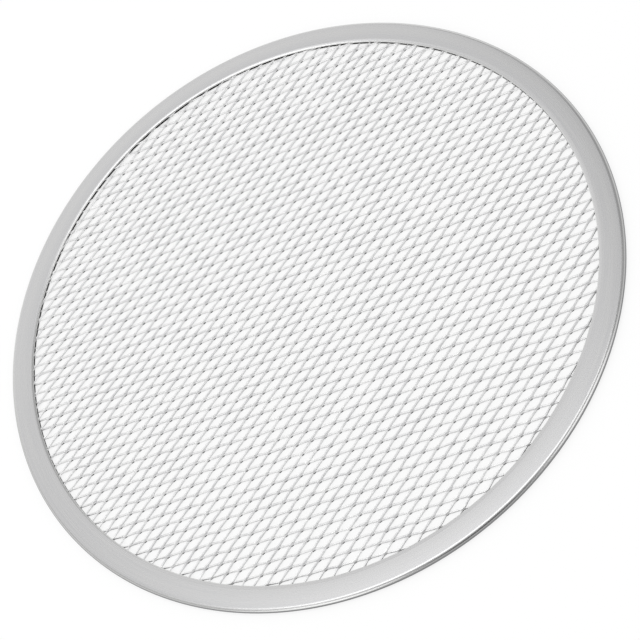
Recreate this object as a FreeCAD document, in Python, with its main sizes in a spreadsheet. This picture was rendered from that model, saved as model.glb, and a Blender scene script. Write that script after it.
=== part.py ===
"""Twelve inch pizza screen: a disc of raised expanded aluminium held in a folded aluminium rim.

Millimetres, +Z up. The origin is the centre of the underside of the rim, which is the face the screen
rests on. X runs along the long way of the diamonds and Y along their short way.
"""

import FreeCAD, Part
import Sketcher
import math
import os

from FreeCAD import Vector

doc = FreeCAD.newDocument("pizza_screen")

# Driving sizes. The first group is the rim, the second the real expanded sheet.
# The sheet is modelled with larger diamonds than the real one: each stands for merged_diamonds real
# ones along X and as many along Y. Its strands are thicker by the same number and stand just as high,
# so that the share of open area, the height and the weight stay those of the real sheet.
sizes = [
    ("outer_diameter", 305.0, "over the rim, a 12 inch screen"),
    ("rim_width", 11.8, "from the outer edge to the cut edge of a flange"),
    ("rim_sheet", 0.45, "thickness of the folded rim"),
    ("bend_radius", 1.0, "outside of the two bends at the outer edge"),
    ("diamond_long", 12.45, "real diamond, centre to centre along X"),
    ("diamond_short", 5.53, "real diamond, centre to centre along Y"),
    ("strand_width", 0.95, "cut width of a strand, which stands nearly upright"),
    ("strand_gauge", 0.7, "thickness of the expanded sheet"),
    ("merged_diamonds", 2.2, "real diamonds that one modelled diamond stands for, each way"),
    ("crimp_clearance", 0.02, "between the mesh and each flange"),
    ("edge_clearance", 1.5, "between the cut edge of the mesh and the inside of the rim"),
]

# Sizes worked out from the driving ones.
worked_out = [
    ("pitch_long", "=diamond_long * merged_diamonds"),
    ("pitch_short", "=diamond_short * merged_diamonds"),
    ("gauge", "=strand_gauge * merged_diamonds"),
    ("row_rise", "=sqrt((pitch_short / 2) ^ 2 - strand_width ^ 2)"),
    ("slope", "=row_rise / (pitch_long / 2)"),
    ("band", "=gauge * sqrt(1 + slope ^ 2)"),
    ("mesh_height", "=(2 * strand_width * row_rise + band * strand_width) / (pitch_short / 2)"),
    ("rim_height", "=mesh_height + 2 * crimp_clearance + 2 * rim_sheet"),
    ("outer_radius", "=outer_diameter / 2"),
    ("inner_radius", "=outer_radius - rim_width"),
    ("blank_radius", "=outer_radius - rim_sheet - edge_clearance"),
]

sheet = doc.addObject("Spreadsheet::Sheet", "sizes")
for row, (name, value, note) in enumerate(sizes, start=1):
    sheet.set(f"A{row}", name)
    sheet.set(f"B{row}", str(value))
    sheet.setAlias(f"B{row}", name)
    sheet.set(f"C{row}", note)
for row, (name, formula) in enumerate(worked_out, start=len(sizes) + 2):
    sheet.set(f"A{row}", name)
    sheet.set(f"B{row}", formula)
    sheet.setAlias(f"B{row}", name)
doc.recompute()


def size(name):
    return float(sheet.get(name))


def bind(thing, **formulas):
    """Ties each named property of an object to a formula in the names of the sheet."""
    for name, formula in formulas.items():
        thing.setExpression(name, formula)


def make_rim():
    """The rim: a strip bent into a channel that closes over the edge of the mesh from both sides."""
    body = doc.addObject("PartDesign::Body", "rim")
    body.Label = "rim"
    plane = next(f for f in body.Origin.OriginFeatures if f.Role == "XZ_Plane")
    sketch = body.newObject("Sketcher::SketchObject", "rim_section")
    sketch.AttachmentSupport = [(plane, "")]
    sketch.MapMode = "FlatFace"

    edge = size("outer_radius")
    inner = size("inner_radius")
    height = size("rim_height")
    wall = size("rim_sheet")
    bend = size("bend_radius")
    flat = edge - bend

    def line(x1, z1, x2, z2):
        return sketch.addGeometry(Part.LineSegment(Vector(x1, z1, 0), Vector(x2, z2, 0)), False)

    # Each bend is two flats, the chords of two eighths of a turn. Arcs this long and this small
    # would take more facets than all of the mesh.
    eighth = math.pi / 4
    knee = Vector(flat + bend * math.sin(eighth), bend * (1 - math.cos(eighth)), 0)

    low_flange = line(inner, 0, flat, 0)
    low_bend = line(flat, 0, knee.x, knee.y), line(knee.x, knee.y, edge, bend)
    web = line(edge, bend, edge, height - bend)
    high_bend = (line(edge, height - bend, knee.x, height - knee.y),
                 line(knee.x, height - knee.y, flat, height))
    high_flange = line(flat, height, inner, height)
    high_cut = line(inner, height, inner, height - wall)
    high_inside = line(inner, height - wall, edge - wall, height - wall)
    web_inside = line(edge - wall, height - wall, edge - wall, wall)
    low_inside = line(edge - wall, wall, inner, wall)
    low_cut = line(inner, wall, inner, 0)

    start, end, origin = 1, 2, -1
    loop = [low_flange, *low_bend, web, *high_bend, high_flange,
            high_cut, high_inside, web_inside, low_inside, low_cut]
    rules = [Sketcher.Constraint("Coincident", one, end, other, start)
             for one, other in zip(loop, loop[1:] + loop[:1])]
    rules += [Sketcher.Constraint("Horizontal", flange)
              for flange in (low_flange, high_flange, high_inside, low_inside)]
    rules += [Sketcher.Constraint("Vertical", upright) for upright in (web, web_inside, high_cut, low_cut)]
    rules += [Sketcher.Constraint("Equal", low_bend[0], chord) for chord in (low_bend[1], *high_bend)]
    rules.append(Sketcher.Constraint("Equal", low_cut, high_cut))
    rules.append(Sketcher.Constraint("Vertical", low_cut, start, high_cut, end))
    rules.append(Sketcher.Constraint("PointOnObject", low_flange, start, origin))
    sketch.addConstraint(rules)

    def measure(name, formula, *rule):
        sketch.renameConstraint(sketch.addConstraint(Sketcher.Constraint(*rule)), name)
        bind(sketch, **{f"Constraints.{name}": formula})

    measure("cut_edge", "sizes.inner_radius", "DistanceX", origin, start, low_flange, start, inner)
    measure("edge", "sizes.outer_radius", "DistanceX", origin, start, web, start, edge)
    measure("flat_edge", "sizes.outer_radius - sizes.bend_radius",
            "DistanceX", origin, start, low_flange, end, flat)
    measure("overall", "sizes.rim_height", "DistanceY", low_flange, start, high_flange, end, height)
    measure("flange_wall", "sizes.rim_sheet", "DistanceY", low_cut, end, low_cut, start, wall)
    measure("web_wall", "sizes.rim_sheet", "DistanceX", web_inside, start, web, start, wall)
    for count, chord in enumerate((*low_bend, *high_bend)):
        steepness = eighth * (count + 0.5)
        measure(f"chord_{count + 1}", f"{math.degrees(steepness)} deg", "Angle", chord, steepness)

    turned = body.newObject("PartDesign::Revolution", "rim_turned")
    turned.Profile = sketch
    turned.ReferenceAxis = (sketch, ["V_Axis"])
    turned.Angle = 360
    sketch.Visibility = False
    return body


def strand_row(number):
    """One zigzag strand that runs along X, as a prism.

    A row is one slit strip of the sheet, stretched into a zigzag and turned nearly upright. Where it
    bends towards -Y it lies on the row in front, and where it bends towards +Y the row behind lies on
    it. The two meet face to face there, which is where the real sheet was never slit.
    """
    width = size("strand_width")
    rise = size("row_rise")
    long_step = size("pitch_long") / 2
    short_step = size("pitch_short") / 2
    lean = math.atan2(width, rise)
    up_the_cut = Vector(0, math.sin(lean), math.cos(lean))
    across = Vector(0, -math.cos(lean), math.sin(lean))
    reach = size("blank_radius") + 2 * long_step
    bends = math.ceil(reach / long_step)
    middle = Vector(0, number * short_step, size("rim_height") / 2) - up_the_cut * (width / 2)

    front, back = [], []
    for bend in range(-bends, bends + 1):
        side = 1 if (bend + number) % 2 == 0 else -1
        point = middle + Vector(bend * long_step, 0, 0) + across * (side * rise / 2)
        front.append(point + across * (size("band") / 2))
        back.append(point - across * (size("band") / 2))
    outline = front + back[::-1]
    return Part.Face(Part.makePolygon(outline + outline[:1])).extrude(up_the_cut * width)


def make_mesh_disc():
    """The mesh: rows of strands joined where they touch, then cut to a round blank."""
    blank = doc.addObject("Part::Cylinder", "mesh_blank")
    bind(blank, Radius="sizes.blank_radius", Height="sizes.rim_height")
    doc.recompute()

    radius = size("blank_radius")
    outermost = math.ceil(radius / (size("pitch_short") / 2))
    rows = [strand_row(number).common(blank.Shape) for number in range(-outermost, outermost + 1)]
    rows = [row for row in rows if row.Solids]
    joined = rows[0].multiFuse(rows[1:])

    mesh = doc.addObject("Part::Feature", "mesh_disc")
    mesh.Label = "mesh_disc"
    # A sliver that the blanking cut leaves on its own falls away.
    mesh.Shape = max(joined.Solids, key=lambda solid: solid.Volume)
    mesh.Placement = FreeCAD.Placement()
    return mesh


parts = [make_rim(), make_mesh_disc()]
doc.recompute()

for thing in doc.Objects:
    if "Invalid" in thing.State or "Error" in thing.State:
        raise RuntimeError(f"{thing.Label} failed: {thing.State}")
for part in parts:
    if part.Shape.isNull() or not part.Shape.isValid():
        raise RuntimeError(f"{part.Label} has no valid shape")

os.makedirs("parts", exist_ok=True)
for part in parts:
    part.Shape.exportStep(f"parts/{part.Label}.step")
    box = part.Shape.BoundBox
    print(part.Label, "solids", len(part.Shape.Solids), "volume", round(part.Shape.Volume, 1),
          "size", round(box.XLength, 2), round(box.YLength, 2), round(box.ZLength, 3))
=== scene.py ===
import math

import bmesh
import bpy
from mathutils import Euler, Matrix, Vector


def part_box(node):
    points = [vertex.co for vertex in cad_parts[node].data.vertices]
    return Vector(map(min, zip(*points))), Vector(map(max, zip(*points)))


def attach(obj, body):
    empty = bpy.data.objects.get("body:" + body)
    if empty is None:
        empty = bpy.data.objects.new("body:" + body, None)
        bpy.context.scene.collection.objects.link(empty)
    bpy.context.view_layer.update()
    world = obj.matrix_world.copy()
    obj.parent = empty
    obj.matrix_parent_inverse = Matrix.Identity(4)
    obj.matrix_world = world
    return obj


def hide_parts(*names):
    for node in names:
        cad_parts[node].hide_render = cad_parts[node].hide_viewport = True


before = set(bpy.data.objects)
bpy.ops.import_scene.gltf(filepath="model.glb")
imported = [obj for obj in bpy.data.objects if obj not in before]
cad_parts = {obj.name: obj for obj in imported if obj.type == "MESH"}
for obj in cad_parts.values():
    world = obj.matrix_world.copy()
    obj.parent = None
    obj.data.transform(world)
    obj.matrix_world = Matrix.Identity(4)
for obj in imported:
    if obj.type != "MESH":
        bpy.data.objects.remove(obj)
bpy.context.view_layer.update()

# Shapes are worked out in millimetres, with X along the long way of the diamonds and Z up from
# the surface that the screen rests on.
mm = 0.001
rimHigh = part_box("rim")[1]
meshLow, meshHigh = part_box("mesh_disc")

closeCorners = 0.001      # mm, corners of one strand or of the rim that are one corner
closeRows = 0.002         # mm, corners of two rows that are one corner


def allOf(bm):
    return bm.verts[:] + bm.edges[:] + bm.faces[:]


def finishPiece(bm, name, node, material, sharpAngle):
    # one object at the origin with its place in its mesh, standing for a node of the frame
    mesh = bpy.data.meshes.new(name)
    bm.to_mesh(mesh)
    bm.free()
    mesh.materials.append(material)
    for polygon in mesh.polygons:
        polygon.use_smooth = True
    mesh.set_sharp_from_angle(angle=math.radians(sharpAngle))
    piece = bpy.data.objects.new(name, mesh)
    bpy.context.scene.collection.objects.link(piece)
    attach(piece, "root")
    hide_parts(node)
    print(name, "faces", len(mesh.polygons))
    return piece


# Expanded mesh

meshSheet = {
    "diamondLong": 12.477,
    "diamondShort": 5.542,
    "strandWidth": 0.95,            # cut width, nearly upright in the finished sheet
    "strandGauge": 0.72,            # thickness of the sheet before it was slit
    "bondLength": 1.2,              # flat stretch where two rows are still one sheet
    "bendLength": 0.6,              # length over which a strand turns into its bond
    "bendClimb": 0.75,              # climb in a bend, as a share of a straight strand's climb
    "rollOver": 0.16,               # the shears round the upper front edge of each strand
    "skew": 0.0222,                 # the sheet was cut a little out of square
    "stagger": 0.55,                # every other line of bonds lies this much to one side
    "firstBond": (-1.4, -3.45),     # the middle of the bond nearest the centre of the screen
    "edgeGap": 2.2,                 # the blank stops short of the inside of the rim
    "pressedFrom": 135.0,           # radius at which the crimp starts to press the sheet flatter
    "pressedTo": 140.2,
    "pressed": 0.48,                # height that is left under the rim, as a share
    "bondFacing": 0.995,            # how squarely a bond's face looks across, as a cosine
    "sharpAngle": 60.0,             # an edge turned by more stays sharp
}


def strandFrame():
    # the lean of the sheet, at which each row lands flat on the row in front of it
    half = meshSheet["diamondShort"] / 2
    width = meshSheet["strandWidth"]
    rise = math.sqrt(half ** 2 - width ** 2)
    lean = math.atan2(width, rise)
    along = Vector((0, math.sin(lean), math.cos(lean)))       # up the strand's width
    across = Vector((0, -math.cos(lean), math.sin(lean)))     # through its thickness, towards -Y
    return along, across, rise


def strandStations(side):
    # one wave of the zigzag as (x, height across), from the right end of a back bond to that of
    # the next one; side is the way that its back bonds are staggered
    long = meshSheet["diamondLong"]
    bond = meshSheet["bondLength"] / 2
    bend = meshSheet["bendLength"]
    rise = strandFrame()[2]
    climb = meshSheet["bendClimb"] * bend * rise / (long / 2 - 2 * bond)
    half = [(bond, -rise / 2), (bond + bend, climb - rise / 2),
            (long / 2 - bond - bend, rise / 2 - climb), (long / 2 - bond, rise / 2)]
    wave = half + [(long - x, height) for x, height in reversed(half)]
    wave.append((long + bond, -rise / 2))
    return [(x - side * meshSheet["stagger"] * height / rise, height) for x, height in wave]


def makeStrandRow(waves, side):
    # a strand's section swept from station to station along one wave, then repeated along X
    along, across, rise = strandFrame()
    long = meshSheet["diamondLong"]
    width = meshSheet["strandWidth"]
    gauge = meshSheet["strandGauge"]
    rollOver = meshSheet["rollOver"]
    stations = strandStations(side)

    def point(x, height):
        return Vector((x, 0, 0)) + across * height

    bm = bmesh.new()
    bmesh.ops.create_grid(bm, x_segments=1, y_segments=1, size=0.5)
    place = Matrix.Translation(point(*stations[0]))
    turn = Matrix((along * width, across * gauge, Vector((1, 0, 0)))).transposed().to_4x4()
    bmesh.ops.transform(bm, matrix=place @ turn, verts=bm.verts)
    edge = max(bm.verts, key=lambda vert: vert.co.dot(along + across))
    bmesh.ops.bevel(bm, geom=[edge], offset=rollOver, offset_type="OFFSET", segments=1,
                    profile=0.5, affect="VERTICES", material=-1)
    bm.faces.ensure_lookup_table()
    face = bm.faces[0]
    rings = [(stations[0], face.verts[:])]
    for last, station in zip(stations, stations[1:]):
        grown = bmesh.ops.extrude_face_region(bm, geom=[face])["geom"]
        front = [item for item in grown if isinstance(item, bmesh.types.BMVert)]
        step = point(station[0] - last[0], station[1] - last[1])
        bmesh.ops.translate(bm, verts=front, vec=step)
        bmesh.ops.delete(bm, geom=[face], context="FACES_ONLY")
        face = next(item for item in grown if isinstance(item, bmesh.types.BMFace))
        rings.append((station, front))
    bmesh.ops.delete(bm, geom=[face], context="FACES_ONLY")

    # at a back bond the edge stays square, because the sheet goes on in the row above it
    for (x, height), ring in rings:
        if height > closeCorners - rise / 2:
            continue
        corner = point(x, height + gauge / 2) + along * (width / 2)
        for vert in ring:
            if (vert.co - corner).length < rollOver + closeCorners:
                vert.co = corner

    oneWave = allOf(bm)
    for number in range(1, waves):
        copy = bmesh.ops.duplicate(bm, geom=oneWave)["geom"]
        verts = [item for item in copy if isinstance(item, bmesh.types.BMVert)]
        bmesh.ops.translate(bm, verts=verts, vec=(long * number, 0, 0))
    bmesh.ops.translate(bm, verts=bm.verts, vec=(-long * (waves // 2), 0, 0))
    bmesh.ops.remove_doubles(bm, verts=bm.verts, dist=closeCorners)
    bmesh.ops.dissolve_degenerate(bm, edges=bm.edges, dist=closeCorners / 10)
    return bm


def pressEdge(sheet, middle):
    # the crimp of the rim flattens the strands that it holds
    start, end = meshSheet["pressedFrom"], meshSheet["pressedTo"]
    for vert in sheet.verts:
        share = min(max((vert.co.xy.length - start) / (end - start), 0), 1)
        share *= share * (3 - 2 * share)                      # eased in and out
        vert.co.z = middle + (vert.co.z - middle) * (1 - share * (1 - meshSheet["pressed"]))


def makeMesh(material, bondMaterial):
    long = meshSheet["diamondLong"]
    short = meshSheet["diamondShort"]
    skew = meshSheet["skew"]
    bondX, bondY = meshSheet["firstBond"]
    blank = rimHigh.x / mm - rimStrip["sheet"] - meshSheet["edgeGap"]
    middle = (meshLow.z + meshHigh.z) / 2 / mm
    outermost = math.ceil(2 * blank / short)
    waves = 2 * math.ceil(blank / long) + 3                   # one to spare at each end
    rows = [makeStrandRow(waves, side) for side in (-1, 1)]

    # each row starts half a diamond on from the one in front of it, and is cut off where it
    # meets the edge of the round blank
    sheet = bmesh.new()
    for number in range(-outermost, outermost + 1):
        y = bondY - short / 4 + number * short / 2
        if abs(y) > blank - short / 2:
            continue
        strand = rows[number % 2].copy()
        shift = (bondX + (number % 2) * long / 2, y, middle)
        bmesh.ops.translate(strand, verts=strand.verts, vec=shift)
        for side in (-1, 1):
            end = side * math.sqrt(blank ** 2 - y ** 2) - skew * y
            bmesh.ops.bisect_plane(strand, geom=allOf(strand), plane_co=(end, 0, 0),
                                   plane_no=(side, 0, 0), clear_outer=True)
        ends = [edge for edge in strand.edges if edge.is_boundary]
        bmesh.ops.holes_fill(strand, edges=ends, sides=0)
        rowMesh = bpy.data.meshes.new("strandRow")
        strand.to_mesh(rowMesh)
        strand.free()
        sheet.from_mesh(rowMesh)
        bpy.data.meshes.remove(rowMesh)
    for row in rows:
        row.free()
    shear = Matrix.Identity(4)
    shear[0][1] = skew
    bmesh.ops.transform(sheet, matrix=shear, verts=sheet.verts)
    pressEdge(sheet, middle)

    # where two rows meet they are one sheet, with no face between them
    bmesh.ops.remove_doubles(sheet, verts=sheet.verts, dist=closeRows)
    between = [face for face in sheet.faces
               if all(len(edge.link_faces) > 2 for edge in face.edges)]
    bmesh.ops.delete(sheet, geom=between, context="FACES_ONLY")
    bmesh.ops.recalc_face_normals(sheet, faces=sheet.faces)
    print("bonds", len(between),
          "open edges", sum(1 for edge in sheet.edges if edge.is_boundary),
          "shared edges", sum(1 for edge in sheet.edges if len(edge.link_faces) > 2))
    bmesh.ops.scale(sheet, verts=sheet.verts, vec=(mm, mm, mm))
    piece = finishPiece(sheet, "expandedMesh", "mesh_disc", material,
                        meshSheet["sharpAngle"])

    # the lower half of each bond's front has its own metal, with painted shade
    piece.data.materials.append(bondMaterial)
    across = strandFrame()[1]
    for polygon in piece.data.polygons:
        square = polygon.normal.dot(across) > meshSheet["bondFacing"]
        if square and polygon.center.z / mm < middle:
            polygon.material_index = 1


# Rim

rimStrip = {
    "sheet": 0.45,
    "width": 11.8,
    "bendWidth": 2.1,         # the two bends are a little flatter than round
    "bendHeight": 1.53,
    "bendSteps": 8,
    "lipWidth": 2.0,          # the last stretch of each flange is pressed down on the mesh
    "lipDrop": 0.62,
    "lipSteps": 4,
    "cutRadius": 0.14,        # softened corners of the cut edges
    "cutSteps": 3,
    "steps": 256,
    "sharpAngle": 40.0,
}


def rimSection():
    # the folded strip as corners round its section, along the outside and back along the inside
    outer = rimHigh.x / mm
    top = rimHigh.z / mm
    cut = outer - rimStrip["width"]
    wall = rimStrip["sheet"]
    wide, high = rimStrip["bendWidth"], rimStrip["bendHeight"]
    lip = rimStrip["lipSteps"]
    outside, inside = [], []
    for step in range(lip + 1):
        share = 1 - step / lip
        x = cut + rimStrip["lipWidth"] * (1 - share)
        z = rimStrip["lipDrop"] * share ** 2
        outside.append(Vector((x, 0, z)))
        inside.append(Vector((x, 0, z + wall)))
    for step in range(rimStrip["bendSteps"] + 1):
        angle = math.pi / 2 * step / rimStrip["bendSteps"]
        for line, thin in ((outside, 0), (inside, wall)):
            line.append(Vector((outer - wide + (wide - thin) * math.sin(angle), 0,
                                high - (high - thin) * math.cos(angle))))
    for line in (outside, inside):
        line += [Vector((corner.x, 0, top - corner.z)) for corner in reversed(line)]
    return outside + inside[::-1]


def makeRim(material):
    bm = bmesh.new()
    corners = [bm.verts.new(corner * mm) for corner in rimSection()]
    bm.faces.new(corners)
    cut = rimHigh.x - (rimStrip["width"] - closeCorners) * mm
    bmesh.ops.bevel(bm, geom=[vert for vert in corners if vert.co.x < cut],
                    offset=rimStrip["cutRadius"] * mm, offset_type="OFFSET",
                    segments=rimStrip["cutSteps"], profile=0.5, affect="VERTICES", material=-1)
    bmesh.ops.spin(bm, geom=allOf(bm), cent=(0, 0, 0), axis=(0, 0, 1), angle=math.tau,
                   steps=rimStrip["steps"], use_merge=True)
    # the section's own face would be a wall inside the ring
    sections = [face for face in bm.faces if len(face.verts) > 4]
    bmesh.ops.delete(bm, geom=sections, context="FACES_ONLY")
    bmesh.ops.remove_doubles(bm, verts=bm.verts, dist=closeCorners * mm)
    bmesh.ops.recalc_face_normals(bm, faces=bm.faces)
    print("rim open edges", sum(1 for edge in bm.edges if not edge.is_manifold))
    finishPiece(bm, "foldedRim", "rim", material, rimStrip["sharpAngle"])


# Materials

# For every metal, dark and light are the ends of its clouding, smooth and rough the ends of its
# roughness, fine and broad the scales of its lines and its clouds, stretch draws both out, and
# relief and depth (mm) say how far the lines stand out.

rimFinish = {
    "dark": (0.445, 0.445, 0.452),
    "light": (0.482, 0.48, 0.478),
    "smooth": 0.22,
    "rough": 0.3,
    "fine": 2600.0,
    "broad": 110.0,
    "stretch": (1, 1, 1),
    "relief": 0.12,
    "depth": 0.02,
    "lineTurn": 1.3,                # the smaller, the longer the lines round the rim
    # brighter colour at the cut edge and on the bends, partly wear and partly painted highlight
    "wearAndSheen": (0.62, 0.62, 0.615),
    "wearSheenIn": 0.7,                # mm from the cut edge
    "wearSheenOut": 2.3,               # mm from the outer edge
    "edgeShade": (0.22, 0.22, 0.223),    # painted shade on the lower half of the outer edge
    "edgeShadeHeights": (2.7, 2.1),      # mm above the surface, where it starts and where it is full
}

meshFinish = {
    "dark": (0.62, 0.62, 0.626),
    "light": (0.79, 0.79, 0.788),
    "smooth": 0.4,
    "rough": 0.54,
    "fine": 1500.0,
    "broad": 130.0,
    "stretch": (1, 2.5, 2.5),
    "relief": 0.15,
    "depth": 0.02,
}

bondFinish = {
    "dark": (0.58, 0.58, 0.58),
    "light": (0.82, 0.82, 0.818),
    "smooth": 0.42,
    "rough": 0.55,
    "fine": 1100.0,
    "broad": 150.0,
    "stretch": (1, 1, 1),
    "relief": 0.25,
    "depth": 0.03,
    "bondShade": (0.08, 0.08, 0.08),     # painted shade at the lower edge of a bond's front
    "bondShadeHeights": (1.33, 1.11),    # mm above the surface, where it starts and where it is full
}

# the pattern that the metals share
grainPattern = {
    "lineDetail": 3.0,
    "lineRoughness": 0.6,
    "cloudDetail": 2.0,
    "cloudShare": 0.55,             # of the clouds in the colour, the rest is lines
    "colourSpan": (0.36, 0.64),     # of the noise, from the dark colour to the light one
    "glossSpan": (0.3, 0.7),        # of the lines, from smooth to rough
}

# the Mix node's sockets share their names and go by number
mixShare = 0
numberA, numberB, numberOut = 2, 3, 0
colourA, colourB, colourOut = 6, 7, 2


def link(tree, source, output, target, socket):
    tree.links.new(source.outputs[output], target.inputs[socket])


def addNode(tree, kind, **values):
    # a node with its inputs set by name
    node = tree.nodes.new(kind)
    for name, value in values.items():
        node.inputs[name].default_value = value
    return node


def addMath(tree, operation, *sources):
    # a sum or product of outputs, each given as a node and the output's name
    node = tree.nodes.new("ShaderNodeMath")
    node.operation = operation
    for socket, (source, output) in enumerate(sources):
        link(tree, source, output, node, socket)
    return node


def addVectorMath(tree, operation, source, output):
    node = tree.nodes.new("ShaderNodeVectorMath")
    node.operation = operation
    link(tree, source, output, node, 0)
    return node


def addSpan(tree, source, output, given, wanted=(0, 1), kind="SMOOTHSTEP"):
    # turns the given span of a value into the wanted one
    node = tree.nodes.new("ShaderNodeMapRange")
    node.interpolation_type = kind
    node.inputs["From Min"].default_value, node.inputs["From Max"].default_value = given
    node.inputs["To Min"].default_value, node.inputs["To Max"].default_value = wanted
    link(tree, source, output, node, "Value")
    return node


def layColour(tree, mask, maskOutput, under, underOutput, colour):
    # a plain colour over another node's colour, where the mask is 1
    mix = tree.nodes.new("ShaderNodeMix")
    mix.data_type = "RGBA"
    mix.inputs[colourB].default_value = (*colour, 1)
    link(tree, mask, maskOutput, mix, mixShare)
    link(tree, under, underOutput, mix, colourA)
    return mix


def makeMetalGrain():
    # fine drawn lines and broad clouding of bare aluminium, for every metal of the screen
    group = bpy.data.node_groups.new("metalGrain", "ShaderNodeTree")
    inputs = {"Place": "Vector", "Fine": "Float", "Broad": "Float", "Dark": "Color",
              "Light": "Color", "Smooth": "Float", "Rough": "Float"}
    outputs = {"Colour": "Color", "Roughness": "Float", "Height": "Float"}
    for side, sockets in (("INPUT", inputs), ("OUTPUT", outputs)):
        for name, kind in sockets.items():
            group.interface.new_socket(name=name, in_out=side, socket_type="NodeSocket" + kind)
    source = group.nodes.new("NodeGroupInput")
    result = group.nodes.new("NodeGroupOutput")
    lines = addNode(group, "ShaderNodeTexNoise", Detail=grainPattern["lineDetail"],
                    Roughness=grainPattern["lineRoughness"])
    clouds = addNode(group, "ShaderNodeTexNoise", Detail=grainPattern["cloudDetail"])
    for noise, scale in ((lines, "Fine"), (clouds, "Broad")):
        link(group, source, "Place", noise, "Vector")
        link(group, source, scale, noise, "Scale")

    blend = addNode(group, "ShaderNodeMix", Factor=grainPattern["cloudShare"])
    link(group, lines, "Fac", blend, numberA)
    link(group, clouds, "Fac", blend, numberB)
    spread = addSpan(group, blend, numberOut, grainPattern["colourSpan"], kind="LINEAR")
    tint = group.nodes.new("ShaderNodeMix")
    tint.data_type = "RGBA"
    link(group, spread, "Result", tint, mixShare)
    link(group, source, "Dark", tint, colourA)
    link(group, source, "Light", tint, colourB)
    gloss = addSpan(group, lines, "Fac", grainPattern["glossSpan"], kind="LINEAR")
    link(group, source, "Smooth", gloss, "To Min")
    link(group, source, "Rough", gloss, "To Max")
    link(group, tint, colourOut, result, "Colour")
    link(group, gloss, "Result", result, "Roughness")
    link(group, lines, "Fac", result, "Height")
    return group


def makeMetal(name, finish, grain):
    # a bare metal with its grain, ready for what else its pattern and its colour need
    material = bpy.data.materials.new(name)
    material.use_nodes = True
    tree = material.node_tree
    tree.nodes.clear()
    output = tree.nodes.new("ShaderNodeOutputMaterial")
    shader = addNode(tree, "ShaderNodeBsdfPrincipled", Metallic=1.0)
    relief = addNode(tree, "ShaderNodeBump", Strength=finish["relief"],
                     Distance=finish["depth"] * mm)
    texture = tree.nodes.new("ShaderNodeGroup")
    texture.node_tree = grain
    for socket in ("Fine", "Broad", "Smooth", "Rough"):
        texture.inputs[socket].default_value = finish[socket.lower()]
    for socket in ("Dark", "Light"):
        texture.inputs[socket].default_value = (*finish[socket.lower()], 1)
    place = tree.nodes.new("ShaderNodeTexCoord")
    mapping = addNode(tree, "ShaderNodeMapping", Scale=finish["stretch"])
    link(tree, place, "Object", mapping, "Vector")
    link(tree, mapping, "Vector", texture, "Place")
    link(tree, texture, "Colour", shader, "Base Color")
    link(tree, texture, "Roughness", shader, "Roughness")
    link(tree, texture, "Height", relief, "Height")
    link(tree, relief, "Normal", shader, "Normal")
    link(tree, shader, "BSDF", output, "Surface")
    print("metal", name)
    return material, shader, texture, mapping


def makeRimMetal(grain):
    # the grain runs round the rim: little changes along a ring, and much from ring to ring
    material, shader, texture, mapping = makeMetal("satinRim", rimFinish, grain)
    tree = material.node_tree
    flat = addVectorMath(tree, "MULTIPLY", mapping, "Vector")
    flat.inputs[1].default_value = (1, 1, 0)
    radius = addVectorMath(tree, "LENGTH", flat, "Vector")
    spoke = addVectorMath(tree, "NORMALIZE", flat, "Vector")
    around = addVectorMath(tree, "SCALE", spoke, "Vector")
    around.inputs["Scale"].default_value = rimFinish["lineTurn"] * mm
    height = tree.nodes.new("ShaderNodeSeparateXYZ")
    link(tree, mapping, "Vector", height, "Vector")
    across = addMath(tree, "ADD", (radius, "Value"), (height, "Z"))
    upright = tree.nodes.new("ShaderNodeCombineXYZ")
    link(tree, across, "Value", upright, "Z")
    ring = addVectorMath(tree, "ADD", around, "Vector")
    link(tree, upright, "Vector", ring, 1)
    link(tree, ring, "Vector", texture, "Place")

    # brighter at the cut edge and on the bends, partly wear and partly painted highlight, and
    # painted shade low on the outer edge
    cut = rimHigh.x - rimStrip["width"] * mm
    wearSheenIn = addSpan(tree, radius, "Value", (cut + rimFinish["wearSheenIn"] * mm, cut))
    wearSheenOut = addSpan(tree, radius, "Value",
                        (rimHigh.x - rimFinish["wearSheenOut"] * mm, rimHigh.x))
    wearSheenMask = addMath(tree, "ADD", (wearSheenIn, "Result"), (wearSheenOut, "Result"))
    bare = layColour(tree, wearSheenMask, "Value", texture, "Colour", rimFinish["wearAndSheen"])
    # painted shade low on the outer edge, fading in below the given heights
    low = addSpan(tree, height, "Z", [level * mm for level in rimFinish["edgeShadeHeights"]])
    lowEdge = addMath(tree, "MULTIPLY", (low, "Result"), (wearSheenOut, "Result"))
    edgeShade = layColour(tree, lowEdge, "Value", bare, colourOut, rimFinish["edgeShade"])
    link(tree, edgeShade, colourOut, shader, "Base Color")
    return material


def makeBondMetal(grain):
    # painted shade towards the lower edge of the bond, where the slit ended
    material, shader, texture, mapping = makeMetal("bondShadeMetal", bondFinish, grain)
    tree = material.node_tree
    height = tree.nodes.new("ShaderNodeSeparateXYZ")
    link(tree, mapping, "Vector", height, "Vector")
    low = addSpan(tree, height, "Z", [level * mm for level in bondFinish["bondShadeHeights"]])
    bondShade = layColour(tree, low, "Result", texture, "Colour", bondFinish["bondShade"])
    link(tree, bondShade, colourOut, shader, "Base Color")
    return material


# Studio

studio = {
    "floorSize": 20.0,
    "paper": (0.93, 0.93, 0.93),
    "paperWhite": 0.8,                  # share of plain white in the floor as it is seen
    "air": (1.0, 0.5),                  # light of the air at the horizon and overhead
    "airHeights": (0.3, 0.62),
    "darkSide": (0.02, -0.643, 0.766),  # the way to a darker spot, high behind the camera
    "darkSpread": (0.94, 0.988),        # its edge and its full dark, as cosines
    "darkShare": 0.04,                  # what is left of the air's light in it
}

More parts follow.
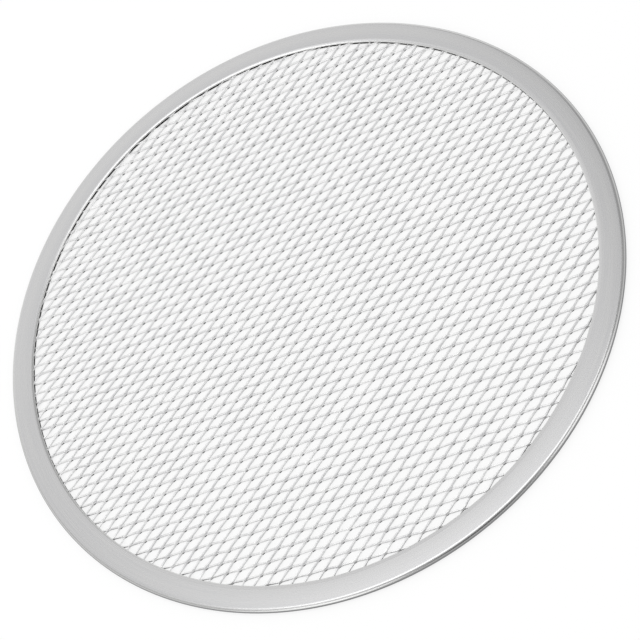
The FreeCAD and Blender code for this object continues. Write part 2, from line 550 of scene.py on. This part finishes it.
# place, size, brightness of the face, what it faces
lamps = {
    "topPanel": ((-0.6, 1.0, 1.6), (2.6, 3.0), 0.55, (-0.6, 1.0, 0)),
    "nearPanel": ((-0.17, 0.38, 1.59), (0.8, 1.0), 0.5, (-0.17, 0.38, 0)),
    "leftPanel": ((-0.9, 1.75, 1.58), (2.3, 1.7), 0.04, (-0.9, 1.75, 0)),
    "farPanel": ((-0.05, 2.15, 1.57), (2.6, 1.7), 0.22, (-0.05, 2.15, 0)),
    "backPanel": ((0, 2.6, 0.85), (4.4, 1.5), 0.25, (0, 0, 0)),
    "keyPanel": ((-0.1, 0.05, 1.5), (1.6, 0.4), 1.6, (-0.1, 0.05, 0)),
    "frontLeft": ((-0.9, -0.9, 1.0), (0.8, 0.7), 1.2, (0, 0, 0)),
    "frontRight": ((0.9, -0.9, 1.0), (0.8, 0.7), 1.2, (0, 0, 0)),
    "lowLeft": ((-1.3, -1.1, 0.5), (1.2, 1.0), 0.6, (0, 0, 0)),
    "lowRight": ((1.3, -1.1, 0.5), (1.2, 1.0), 0.25, (0, 0, 0)),
}

# the view of the photograph: place in metres, turn in degrees
camera = {
    "place": (0.0220, -0.4523, 0.6103),
    "turn": (28.6891, 21.8148, -31.3346),
    "lens": 92.0,
    "sensor": 36.0,
    "shift": (-0.00078, 0.0011),
}


def makeFloor():
    bm = bmesh.new()
    bmesh.ops.create_grid(bm, x_segments=1, y_segments=1, size=studio["floorSize"])
    mesh = bpy.data.meshes.new("studioFloor")
    bm.to_mesh(mesh)
    bm.free()
    floor = bpy.data.objects.new("studioFloor", mesh)
    bpy.context.scene.collection.objects.link(floor)
    material = bpy.data.materials.new("palePaper")
    material.use_nodes = True
    tree = material.node_tree
    tree.nodes.clear()
    output = tree.nodes.new("ShaderNodeOutputMaterial")
    paper = addNode(tree, "ShaderNodeBsdfDiffuse", Color=(*studio["paper"], 1))
    glow = addNode(tree, "ShaderNodeEmission", Color=(1, 1, 1, 1), Strength=1.0)

    # plain white where it is seen or mirrored, and paper that keeps the shadow for the rest
    path = tree.nodes.new("ShaderNodeLightPath")
    seen = addMath(tree, "ADD", (path, "Is Camera Ray"), (path, "Is Glossy Ray"))
    through = addMath(tree, "ADD", (seen, "Value"), (path, "Is Transmission Ray"))
    share = addMath(tree, "MULTIPLY", (through, "Value"))
    share.use_clamp = True
    share.inputs[1].default_value = studio["paperWhite"]
    mix = tree.nodes.new("ShaderNodeMixShader")
    link(tree, share, "Value", mix, "Fac")
    link(tree, paper, "BSDF", mix, 1)
    link(tree, glow, "Emission", mix, 2)
    link(tree, mix, "Shader", output, "Surface")
    mesh.materials.append(material)


def makeLamp(name, place, size, glow, target):
    # a soft panel; glow is how bright its face is, where 1 looks white
    light = bpy.data.lights.new(name, "AREA")
    light.shape = "RECTANGLE"
    light.size, light.size_y = size
    light.energy = glow * math.pi * size[0] * size[1]
    lamp = bpy.data.objects.new(name, light)
    bpy.context.scene.collection.objects.link(lamp)
    lamp.location = place
    lamp.rotation_euler = (Vector(target) - Vector(place)).to_track_quat("-Z", "Y").to_euler()


def makeWorld():
    # air that is light near the horizon and darker overhead, with the dark spot
    world = bpy.data.worlds.new("studioAir")
    bpy.context.scene.world = world
    world.use_nodes = True
    tree = world.node_tree
    tree.nodes.clear()
    output = tree.nodes.new("ShaderNodeOutputWorld")
    air = addNode(tree, "ShaderNodeBackground", Color=(1, 1, 1, 1))
    sky = tree.nodes.new("ShaderNodeTexCoord")
    height = tree.nodes.new("ShaderNodeSeparateXYZ")
    link(tree, sky, "Generated", height, "Vector")
    facing = addVectorMath(tree, "DOT_PRODUCT", sky, "Generated")
    facing.inputs[1].default_value = studio["darkSide"]
    overhead = addSpan(tree, height, "Z", studio["airHeights"], studio["air"])
    spot = addSpan(tree, facing, "Value", studio["darkSpread"], (1, studio["darkShare"]))
    strength = addMath(tree, "MULTIPLY", (overhead, "Result"), (spot, "Result"))
    link(tree, strength, "Value", air, "Strength")
    link(tree, air, "Background", output, "Surface")


def makeCamera():
    lens = bpy.data.cameras.new("photoCamera")
    lens.lens = camera["lens"]
    lens.sensor_width = camera["sensor"]
    lens.shift_x, lens.shift_y = camera["shift"]
    eye = bpy.data.objects.new("photoCamera", lens)
    bpy.context.scene.collection.objects.link(eye)
    turn = Euler([math.radians(angle) for angle in camera["turn"]])
    eye.matrix_world = Matrix.Translation(camera["place"]) @ turn.to_matrix().to_4x4()
    bpy.context.scene.camera = eye


bpy.context.scene.view_settings.view_transform = "Standard"
makeCamera()
makeWorld()
makeFloor()
for name, lamp in lamps.items():
    makeLamp(name, *lamp)
print("studio", len(lamps), "lamps")

grain = makeMetalGrain()
makeRim(makeRimMetal(grain))
makeMesh(makeMetal("millMesh", meshFinish, grain)[0], makeBondMetal(grain))
